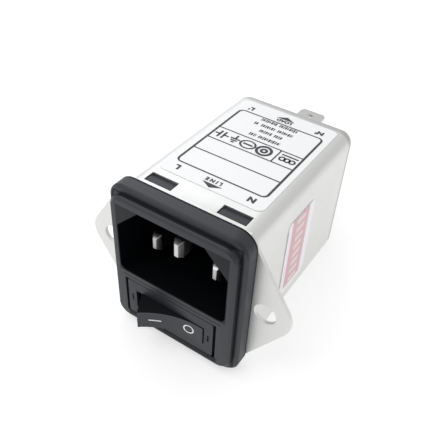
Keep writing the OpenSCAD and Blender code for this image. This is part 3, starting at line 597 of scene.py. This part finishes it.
def addPatch(bm, y0, y1, z0, z1, x):
    verts = addBar(bm, y0, y1, z0, z1, 0)
    stand = Matrix(((0, 0, 1, x * mm), (1, 0, 0, 0), (0, 1, 0, 0), (0, 0, 0, 1)))
    bmesh.ops.transform(bm, matrix=stand, verts=verts)


def sealPiece(name, patches, material, face):
    bm = bmesh.new()
    for patch in patches:
        addPatch(bm, *patch, face)
    faceUp(bm, Vector((1, 0, 0)))
    pieceFrom(bm, name, material)


def sealPrints(look):
    face = look["face"]
    low, high = look["panelZ"]
    pitch = (high - low) / look["bars"]
    middles = [low + pitch * (index + 0.5) for index in range(look["bars"])]
    half = pitch * look["barHalf"]
    (y0, y1), (z0, z1), r, w = look["filmY"], look["filmZ"], look["corner"], look["edge"]
    sealPiece("sealPanel", [(*look["panelY"], low, high)], redInk, face)
    sealPiece("sealBars", [(*look["barY"], z - half, z + half) for z in middles], paleInk,
              face + look["barLift"])
    # The two dark strips are painted shadow of the film's front and top edges.
    sealPiece("sealRim", [(y0, y0 + w, z0 + r, z1 - r), (y0 + r, y1 - r, z1 - w, z1)], filmShadowInk, face)


sealPrints(sealPrint)
print("label and seal printed")

# The switch's marks follow the rocker's dished face.
switchMarks = {
    "pivot": (-0.35, -1.62, -9.1), "tipX": 6.72, "tipRise": 5.53, "waistRise": 4.28,
    "halfThrow": 18, "dashX": -3.35, "dashLong": 2.5, "dashWide": 0.30, "dashParts": 14,
    "ringX": 3.62, "ringOut": 1.15, "ringIn": 0.88, "ringSides": 48, "lift": 0.02,
}


def switchPrint(look):
    bm = bmesh.new()
    bar = bmesh.ops.create_grid(bm, x_segments=look["dashParts"], y_segments=1, size=0.5)["verts"]
    bmesh.ops.scale(bm, vec=(look["dashLong"] * mm, look["dashWide"] * mm, 1), verts=bar)
    bmesh.ops.translate(bm, vec=(look["dashX"] * mm, 0, 0), verts=bar)
    addRing(bm, look["ringX"], 0, look["ringOut"], look["ringIn"], 0, look["ringSides"])
    dip = look["tipRise"] - look["waistRise"]
    dish = (look["tipX"] ** 2 + dip ** 2) / (2 * dip)
    for v in bm.verts:
        x = v.co.x / mm
        rise = look["waistRise"] + dish - math.sqrt(dish * dish - x * x)
        v.co = Vector((x, -rise - look["lift"], v.co.y / mm)) * mm
    turn = Matrix.Rotation(math.radians(look["halfThrow"]), 4, "Z")
    pivot = Vector(look["pivot"]) * mm
    bmesh.ops.transform(bm, matrix=Matrix.Translation(pivot) @ turn, verts=bm.verts)
    faceUp(bm, Vector((0, -1, 0)))
    pieceFrom(bm, "switchMarks", whiteInk, "rocker")


switchPrint(switchMarks)
print("switch marks printed")

# The pale floor is a plane through two lines across it, each given as (y, z).
floorLook = {
    "front": (0, -17.76), "rear": (40.3, -16.31), "size": 8.0, "tone": (0.52, 0.52, 0.52),
    "cloud": 0.985, "roughness": 0.8, "glow": 0.58,
}


def paleFloor(look):
    (y0, z0), (y1, z1) = look["front"], look["rear"]
    slope = Matrix.Rotation(math.atan2(z1 - z0, y1 - y0), 4, "X")
    bm = bmesh.new()
    bmesh.ops.create_grid(bm, x_segments=1, y_segments=1, size=look["size"] / 2)
    bmesh.ops.transform(bm, matrix=Matrix.Translation((0, y0 * mm, z0 * mm)) @ slope, verts=bm.verts)
    mesh = bpy.data.meshes.new("floor")
    bm.to_mesh(mesh)
    bm.free()
    finish = Finish("pale floor", Emission_Color=(1, 1, 1), Emission_Strength=look["glow"])
    tone = finish.blend(finish.noise(6), look["tone"], scaled(look["tone"], look["cloud"]))
    mesh.materials.append(finish.set(Base_Color=tone, Roughness=look["roughness"]))
    floor = bpy.data.objects.new("floor", mesh)
    bpy.context.scene.collection.objects.link(floor)


# A bright tent, darker round the horizon and towards the front, and lit on the left. A span says
# between which parts of a direction the light changes.
skyLook = {
    "climb": ((0.02, 0.55), (0.80, 0.98)),
    "front": 0.65, "frontSpan": (-0.5, 0.35),
    "left": 0.92, "leftSpan": (-0.25, -0.60),
}


def studioSky(look):
    world = bpy.data.worlds.new("studio")
    bpy.context.scene.world = world
    world.use_nodes = True
    back = world.node_tree.nodes["Background"]
    sky = Nodes(world.node_tree)
    x, y, z = sky.split(sky.add("TexCoord"))
    climb = sky.add("ValToRGB", {"Fac": z}, {"stops": look["climb"]})
    low, high = look["frontSpan"]
    across = sky.add("MapRange", {"Value": y, "From Min": low, "From Max": high,
                                  "To Min": look["front"]})
    low, high = look["leftSpan"]
    beside = sky.add("MapRange", {"Value": x, "From Min": low, "From Max": high,
                                  "To Max": look["left"]})
    seen = sky.add("LightPath")  # seen directly, past the floor's far edge, the tent is plain white
    sky.wire(back.inputs["Color"], largest(climb, beside, seen))
    sky.wire(back.inputs["Strength"], largest(across, seen))


studioLamps = {
    "key": {"place": (-157, -157, 390), "aim": (0, 10, 0), "power": 0.60, "size": (300, 300)},
    "left": {"place": (-213, 200, 243), "aim": (0, 0, 10), "power": 0.20, "size": (200, 200),
             "colour": (0.95, 0.97, 1.0)},
    "fill": {"place": (-250, -250, 200), "aim": (-60, -50, 0), "power": 0.08, "size": (250, 250),
             "colour": (0.95, 0.97, 1.0)},
}


def softLight(name, place, aim, power, size, colour=(1, 1, 1)):
    light = bpy.data.lights.new(name, "AREA")
    light.shape = "RECTANGLE"
    light.size, light.size_y = size[0] * mm, size[1] * mm
    light.energy = power
    light.color = colour
    lamp = bpy.data.objects.new(name, light)
    spot = Vector(place) * mm
    lamp.location = spot
    lamp.rotation_euler = (Vector(aim) * mm - spot).to_track_quat("-Z", "Y").to_euler()
    bpy.context.scene.collection.objects.link(lamp)


paleFloor(floorLook)
studioSky(skyLook)
for name, lamp in studioLamps.items():
    softLight(name, **lamp)

# Angles are in radians and lengths in mm, but focal and centre are in the unit of side.
cameraLook = {
    "aim": (0, 15.35, 4.0), "azimuth": 0.524673, "elevation": 0.707723, "roll": 0.074541,
    "distance": 117.912, "focal": 569.278, "centre": (6.9406, -6.8418), "side": 444,
    "sensor": 36, "near": 5,
}


def studioCamera(look):
    az, el, roll = look["azimuth"], look["elevation"], look["roll"]
    ahead = Vector((-math.sin(az) * math.cos(el), math.cos(az) * math.cos(el), -math.sin(el)))
    level = ahead.cross(Vector((0, 0, 1))).normalized()
    upright = level.cross(ahead)
    across = level * math.cos(roll) + upright * math.sin(roll)
    up = upright * math.cos(roll) - level * math.sin(roll)
    data = bpy.data.cameras.new("camera")
    data.sensor_width = look["sensor"]
    data.lens = look["focal"] * look["sensor"] / look["side"]
    data.shift_x = -look["centre"][0] / look["side"]
    data.shift_y = look["centre"][1] / look["side"]
    data.clip_start = look["near"] * mm
    camera = bpy.data.objects.new("camera", data)
    place = (Vector(look["aim"]) - ahead * look["distance"]) * mm
    turn = Matrix((across, up, -ahead)).transposed().to_4x4()
    camera.matrix_world = Matrix.Translation(place) @ turn
    bpy.context.scene.collection.objects.link(camera)
    bpy.context.scene.camera = camera


studioCamera(cameraLook)
bpy.context.scene.view_settings.view_transform = "Standard"
print("studio ready")
